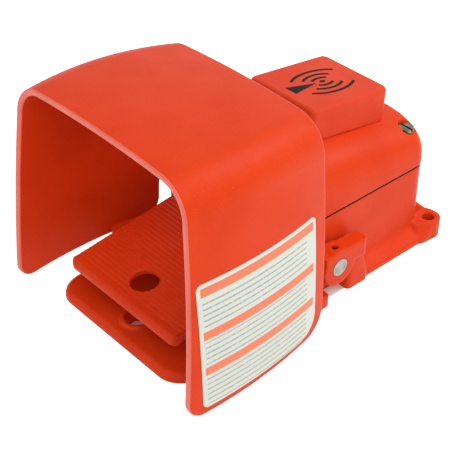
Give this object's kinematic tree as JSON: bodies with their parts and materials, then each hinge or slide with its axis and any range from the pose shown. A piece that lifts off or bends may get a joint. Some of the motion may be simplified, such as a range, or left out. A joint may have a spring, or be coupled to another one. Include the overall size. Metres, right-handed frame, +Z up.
{
  "type": "foot switch",
  "caption": "Industrial foot switch: ribbed hinged treadle under a full guard, sealed switch box with domed cover and a radio housing on top.",
  "frame": {"origin": "centre of the whole switch's footprint, on the floor plane that the base stands on", "axes": "+Z up; +Y is the way the foot goes in, from the open front of the guard towards the switch box; X runs across, and the label is on the +X side"},
  "size_m": [0.1861, 0.2593, 0.1612],
  "materials": {
    "painted_casting": "satin",
    "radio_shell": "satin",
    "label_stock": "matte",
    "black_rubber": "matte",
    "zinc_steel": "satin",
    "ground_steel": "satin",
    "black_steel": "satin",
    "spring_steel": "satin",
    "stainless_leaf": "satin",
    "bronze": "satin",
    "brass": "satin",
    "black_plastic": "matte",
    "red_plastic": "gloss",
    "circuit_board": "gloss",
    "cell_wrap": "gloss",
    "wire_insulation": "satin"
  },
  "bodies": {
    "root": {"base_casting": "painted_casting", "box_walls": "painted_casting", "cover": "painted_casting", "cover_gasket": "black_rubber", "cover_screws": "zinc_steel", "guard": "painted_casting", "guard_screws": "zinc_steel", "guard_washers": "zinc_steel", "side_label": "label_stock", "shaft_bushes": "bronze", "shaft_o_rings": "black_rubber", "torsion_springs": "spring_steel", "switch_bracket": "zinc_steel", "bracket_screws": "zinc_steel", "micro_switch": "black_plastic", "switch_terminals": "brass", "switch_screws": "zinc_steel", "radio_housing": "radio_shell", "radio_gasket": "black_rubber", "radio_screws": "zinc_steel", "radio_board": "circuit_board", "board_screws": "zinc_steel", "radio_antenna": "brass", "battery_holder": "black_plastic", "holder_screws": "zinc_steel", "batteries": "cell_wrap", "battery_contacts": "stainless_leaf", "lead_wires": "wire_insulation", "conduit_plug": "zinc_steel"},
    "treadle_assembly": {"treadle": "painted_casting", "treadle_shaft": "ground_steel", "arm_set_screws": "black_steel", "actuator_cam": "ground_steel", "cam_set_screws": "black_steel"},
    "lever_assembly": {"switch_lever": "stainless_leaf"},
    "button_assembly": {"switch_button": "red_plastic"}
  },
  "joints": [
    {"name": "treadle_hinge", "type": "hinge", "parent": "root", "child": "treadle_assembly", "pos_m": [0, 0.0175, 0.029], "axis": [1, 0, 0], "range_deg": [0, 6.4], "stiffness_Nm_per_rad": 1.6, "springref_deg": -28.65, "deforming": ["torsion_springs"]},
    {"name": "lever_hinge", "type": "hinge", "parent": "root", "child": "lever_assembly", "pos_m": [0, 0.086, 0.0524], "axis": [-1, 0, 0], "range_deg": [0, 2.8]},
    {"name": "button_slide", "type": "slide", "parent": "root", "child": "button_assembly", "axis": [0, 0, 1], "range_m": [0, 0.001]}
  ],
  "couplings": [
    {"joint": "lever_hinge", "follows": "treadle_hinge", "ratio": 0.4286},
    {"joint": "button_slide", "follows": "treadle_hinge", "m_per_rad": 0.00859}
  ]
}
